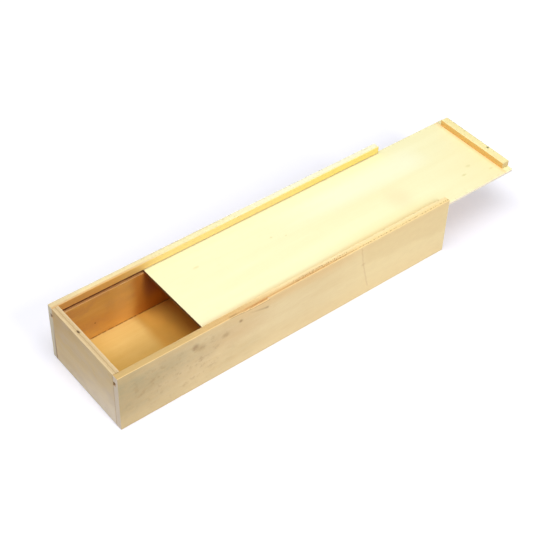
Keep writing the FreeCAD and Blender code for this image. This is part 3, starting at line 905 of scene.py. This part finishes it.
def bottom_look():
    """The bottom: warm inside, with painted shade along the near wall and towards the closed end, a painted
    shadow of the lid's nose and painted light under the lid beyond it, and a dark line along the walls.
    """
    look = Board("bottom_ply", BOTTOM)
    x, y = look.along, look.across
    cloud = look.noise((x * 0.04, y * 0.05, 23.0), 3, 0.6)
    # painted shade along the near wall
    look.paint("CCA24C", look.inner * (y + cloud * 16).fall(-2, 42) * 0.75)
    # painted shade towards the closed end
    look.paint("D4AC54", look.inner * (x + cloud * 14).fall(-150, -112) * 0.75)
    # painted shadow of the lid's nose
    look.paint("D49E44", look.inner * (x + cloud * 6).step(-101, -90) * 0.95)
    # painted light under the lid, past its shadow
    look.paint("FFC050", look.inner * (x + cloud * 8 + y * 0.25).step(-86, -70) * 0.6)
    look.paint("F8BC58", look.inner * (x + cloud * 6).step(-96, -86) * y.step(14, 36) * 0.5)
    look.darken_joint(END_Y[1] - abs(y), 0.5)
    return look.done()


# The lid's small specks: centre in x and y, half size and strength
LID_SPOTS = (
    ((-49.5, 20.6), (2.5, 1.2), 0.3),
    ((23.3, 12.4), (1.1, 0.8), 0.35),
    ((35.3, 7), (1.0, 0.7), 0.35),
    ((215.3, -26), (2.2, 1.0), 0.45),
    ((227.4, -18.9), (2.2, 1.4), 0.3),
    ((242.3, -33.6), (2.2, 1.0), 0.35),
)
LID_STAIN = (146, -15)
LID_STAIN_SIZE = (11, 13)


def lid_look():
    """The lid: very pale, warmer towards the batten, with a painted warm reflection by the near lip, a
    painted warm shadow along the batten's foot and painted shade on its nose, with specks and a faint stain.
    """
    look = Board("lid_ply", LID)
    x, y = look.along, look.across
    behind = x.step(BATTEN_X[0] + 0.1, BATTEN_X[0] + 1.1)
    ahead = 1 - behind
    look.paint("FFE8A8", look.outer * x.step(175, 262) * ahead * (0.36 - y.step(-20, 25) * 0.24))
    look.paint("FFF4BC", look.outer * behind * 0.6)
    # painted warm reflection from the near lip on the lid beside it
    look.paint("FFD898", look.outer * y.fall(-39, -33) * x.within(-90, 172, 10) * 0.6)
    look.paint("FFE8A4", look.outer * y.fall(-38, -22) * x.within(60, 172, 30) * 0.4)
    # painted shadow of the batten on the lid, warmed by its reflection
    look.paint("FFCC88", look.outer * x.step(BATTEN_X[0] - 4.5, BATTEN_X[0]) * ahead * 0.5)
    # painted shade on the lid's nose edge
    look.paint("6E3E18", look.edge * x.fall(LID_X[0] + 0.4, LID_X[0] + 0.9) * 0.9)
    for centre, size, strength in LID_SPOTS:
        look.paint("D4C878", look.outer * spot(look, x, y, centre, size, 0.7, centre[0]) * strength)
    look.paint("FEFFE2", look.outer * y.within(8, 32, 9) * x.step(20, 110) * x.fall(185, 215) * 0.5)
    look.paint("F4D8A8", look.outer * spot(look, x, y, LID_STAIN, LID_STAIN_SIZE, 0.8, 6.0) * 0.3)
    return look.done()


FILLED_SIZE = (1.3, 1.3)
OPEN_PIN_SIZE = (1.4, 1.4)


def batten_look():
    """The batten: solid wood, warmer in front with painted shade and reflection from the lid, with smudges
    along its rear arris and a filled hole.
    """
    look = Look("batten_wood", "F6E2A8")
    x, y, z = look.at
    look.colour, relief = veneer(look, y, x + z * 0.8, 400.0, "FDF1B4", "F9E6A2")
    look.raise_by(relief)
    # painted shade and warm reflection from the lid on the batten's front face
    look.paint("F6BC5E", look.facing[0].fall(-0.8, -0.4) * 0.8)
    look.paint("DCC288", look.facing[1].fall(-0.8, -0.4) * 0.85)
    smudge = look.noise((y * 0.25, x * 0.5, 31.0), 3, 0.6).step(0.5, 0.62)
    look.paint("B4B468", smudge * (x - BATTEN_X[1]).step(-2.2, -0.8) * y.within(0, 41, 6) * 0.5)
    look.paint("D8C888", spot(look, x, y, (PIN_X, FILLED_PIN_Y), FILLED_SIZE, 0.35, 5.0) * 0.4)
    look.paint("A09448", spot(look, x, y, (PIN_X, OPEN_PIN_Y), OPEN_PIN_SIZE, 0.5, 5.0) * 0.6)
    look.rough = 0.55 + look.noise((y * 0.2, x * 0.6, 44.0), 3) * 0.2
    return look.done()


def steel_look():
    """The pins: dull steel with spots of rust."""
    look = Look("pin_steel", "9A9270")
    x, y, z = look.at
    rust = look.noise((x * 1.5, y * 1.5, z * 1.5), 4, 0.6)
    look.paint("6E5430", rust.step(0.48, 0.66) * 0.8)
    look.rough = 0.35 + rust * 0.4
    look.raise_by(rust * 0.05)
    return look.done(specular=0.5, metal=0.5)


# ---------------------------------------------------------------- Looks and bodies
def dress(piece, material, body, node):
    """Gives a piece its material and body, and hides the CAD node that it stands for."""
    piece.data.materials.clear()
    piece.data.materials.append(material)
    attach(piece, body)
    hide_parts(node)


# The CAD nodes that are shown as they are: the batten's pins and the brads
STEEL_NODES = ("batten_pins", "closed_end_brads", "open_end_brads", "bottom_brads")

dress(boards["near_wall"], near_look(), "case", "side_near")
dress(boards["far_wall"], far_look(), "case", "side_far")
dress(boards["closed_wall"], closed_look(), "case", "end_closed")
dress(boards["open_wall"], open_look(), "case", "end_open")
dress(boards["floor_board"], bottom_look(), "case", "bottom_panel")
dress(boards["lid_board"], lid_look(), "lid", "lid_panel")
dress(boards["pull_batten"], batten_look(), "lid", "lid_batten")

steel = steel_look()
for node in STEEL_NODES:
    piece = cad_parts[node]
    piece.data.materials.clear()
    piece.data.materials.append(steel)


# ---------------------------------------------------------------- Floor, sky, lamps and camera, in metres
WHITE = (1.0, 1.0, 1.0, 1.0)
FLOOR_SIZE = 4.0
FLOOR_CELLS = 8
FLOOR_DROP = 0.1 * MM
FLOOR_COLOUR = (0.82, 0.825, 0.89, 1.0)

# The glow that the camera sees on the floor, near the box and far from it, and where one turns into the other
GLOW_NEAR = (0.94, 0.94, 1.02, 1.0)
GLOW_FAR = (1.7, 1.7, 1.7, 1.0)
GLOW_TURNS = (0.15, 0.6)
FLOOR_GLOW = 0.25
FAR_GLOW = 0.3
FAR_GLOW_RISES = (0.5, 1.5)

# The sky's light as a share of plain white
SKY = 0.28


def seen_share(tree):
    """1 for rays that see a thing straight, in a mirror or through glass, and 0 for the rest."""
    path = tree.nodes.new("ShaderNodeLightPath")
    seen = Wire(tree, path.outputs["Is Camera Ray"])
    seen = seen | Wire(tree, path.outputs["Is Glossy Ray"])
    seen = seen | Wire(tree, path.outputs["Is Transmission Ray"])
    return seen


def floor_material():
    """Plain pale matt, with a faint glow for the camera that clips to white away from the box."""
    material = bpy.data.materials.new("studio_floor")
    tree = fresh_nodes(material)
    diffuse = tree.nodes.new("ShaderNodeBsdfDiffuse")
    diffuse.inputs["Color"].default_value = FLOOR_COLOUR
    place = tree.nodes.new("ShaderNodeTexCoord")
    reach = tree.nodes.new("ShaderNodeVectorMath")
    reach.operation = "LENGTH"
    tree.links.new(place.outputs["Object"], reach.inputs[0])
    distance = Wire(tree, reach.outputs["Value"])
    glow = tree.nodes.new("ShaderNodeEmission")
    feed(tree, glow.inputs["Color"], mixed(tree, distance.step(*GLOW_TURNS), GLOW_NEAR, GLOW_FAR))
    strength = distance.step(*FAR_GLOW_RISES) * FAR_GLOW + FLOOR_GLOW
    feed(tree, glow.inputs["Strength"], seen_share(tree) * strength)
    both = tree.nodes.new("ShaderNodeAddShader")
    tree.links.new(diffuse.outputs[0], both.inputs[0])
    tree.links.new(glow.outputs[0], both.inputs[1])
    output = tree.nodes.new("ShaderNodeOutputMaterial")
    tree.links.new(both.outputs[0], output.inputs["Surface"])
    return material


def make_floor():
    """A plain pale floor just under the box."""
    mesh = bmesh.new()
    bmesh.ops.create_grid(mesh, x_segments=FLOOR_CELLS, y_segments=FLOOR_CELLS, size=FLOOR_SIZE)
    floor = place_mesh("studio_floor", mesh)
    floor.location.z = -FLOOR_DROP
    floor.data.materials.append(floor_material())


def make_sky():
    """Even white light from all round, and a white background where it is seen."""
    world = bpy.data.worlds.new("studio_sky")
    tree = fresh_nodes(world)
    background = tree.nodes.new("ShaderNodeBackground")
    background.inputs["Color"].default_value = WHITE
    feed(tree, background.inputs["Strength"], seen_share(tree) * (1 - SKY) + SKY)
    output = tree.nodes.new("ShaderNodeOutputWorld")
    tree.links.new(background.outputs[0], output.inputs["Surface"])
    bpy.context.scene.world = world


# Each lamp's name, its way from the box, its size and its share of plain light on a level surface
LAMP_HEIGHT = 1.4
LAMPS = (
    ("overhead_softbox", (-0.18, -0.12, 1.0), (1.3, 0.75), 0.68),
    ("front_softbox", (0.12, -1.2, 1.0), (0.6, 0.6), 0.2),
)


def make_lamps():
    """Soft lamps that face the box."""
    for name, way, size, share in LAMPS:
        lamp = bpy.data.lights.new(name, "AREA")
        lamp.shape = "RECTANGLE"
        lamp.size, lamp.size_y = size
        place = Vector(way) * LAMP_HEIGHT
        slant = place.length / LAMP_HEIGHT
        lamp.energy = share * math.pi**2 * place.length_squared * slant
        holder = bpy.data.objects.new(name, lamp)
        holder.location = place
        holder.rotation_mode = "QUATERNION"
        holder.rotation_quaternion = (-place).to_track_quat("-Z", "Y")
        bpy.context.scene.collection.objects.link(holder)


# The camera's place in mm, its turns about x, y and z in degrees, and its lens and sensor in mm
CAMERA_AT = (-494.40, -611.31, 788.06)
CAMERA_TURNS = (46.0348, -1.6240, -38.4543)
CAMERA_LENS = 84.20
CAMERA_SENSOR = 36.0
CAMERA_CLIP = (0.05, 20.0)


def make_camera():
    """The photograph's view."""
    data = bpy.data.cameras.new("camera")
    data.lens = CAMERA_LENS
    data.sensor_width = CAMERA_SENSOR
    data.clip_start, data.clip_end = CAMERA_CLIP
    camera = bpy.data.objects.new("camera", data)
    turns = Euler([math.radians(turn) for turn in CAMERA_TURNS])
    camera.matrix_world = Matrix.LocRotScale(Vector(CAMERA_AT) * MM, turns, None)
    bpy.context.scene.collection.objects.link(camera)
    bpy.context.scene.camera = camera


make_floor()
make_sky()
make_lamps()
make_camera()
bpy.context.scene.view_settings.view_transform = "Standard"
